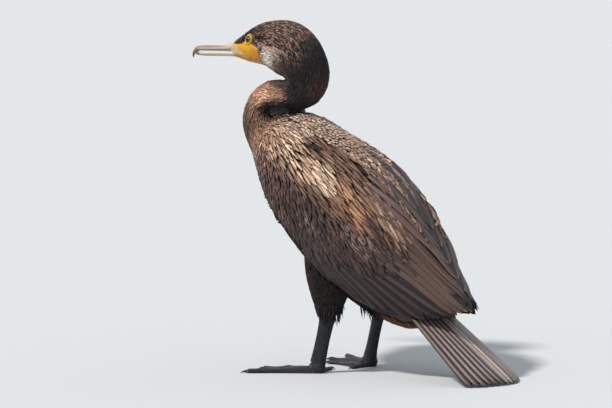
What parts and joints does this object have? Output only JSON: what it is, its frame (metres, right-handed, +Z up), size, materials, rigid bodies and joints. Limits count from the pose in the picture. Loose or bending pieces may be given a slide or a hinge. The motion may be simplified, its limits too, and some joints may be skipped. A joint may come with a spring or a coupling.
{
  "type": "great cormorant",
  "caption": "Life-size still model of a young great cormorant standing at rest, neck drawn back in an S, wings folded and tail touching the floor",
  "frame": {"origin": "on the floor under the middle of the bird's length and width", "axes": "+Z is up; the bird faces -Y, so its tail points to +Y; its left side is +X"},
  "size_m": [0.2066, 0.4936, 0.4439],
  "materials": {
    "dark_plumage": "black-brown feathers",
    "brown_plumage": "brown feathers with pale edges",
    "bronze_plumage": "bronze-brown feathers with dark margins",
    "flight_feathers": "charcoal flight feathers",
    "tail_feathers": "grey stiff tail feathers",
    "bare_yellow_skin": "bare yellow-orange skin",
    "horn": "pale horn with a slight sheen",
    "leg_skin": "black scaly skin",
    "claw": "black horn",
    "eye": "wet, dark green"
  },
  "bodies": {
    "root": {"bill_lower": "horn", "bill_upper": "horn", "claw_1_left": "claw", "claw_1_right": "claw", "claw_2_left": "claw", "claw_2_right": "claw", "claw_3_left": "claw", "claw_3_right": "claw", "claw_4_left": "claw", "claw_4_right": "claw", "eye_left": "eye", "eye_right": "eye", "foot_left": "leg_skin", "foot_right": "leg_skin", "head": "dark_plumage", "neck_lower": "brown_plumage", "neck_middle": "dark_plumage", "neck_upper": "dark_plumage", "primaries_left": "flight_feathers", "primaries_right": "flight_feathers", "rump": "dark_plumage", "secondaries_left": "flight_feathers", "secondaries_right": "flight_feathers", "shank_left": "leg_skin", "shank_right": "leg_skin", "tail": "tail_feathers", "thigh_left": "dark_plumage", "thigh_right": "dark_plumage", "throat_pouch": "bare_yellow_skin", "trunk": "brown_plumage", "wing_left": "bronze_plumage", "wing_right": "bronze_plumage"}
  },
  "joints": []
}
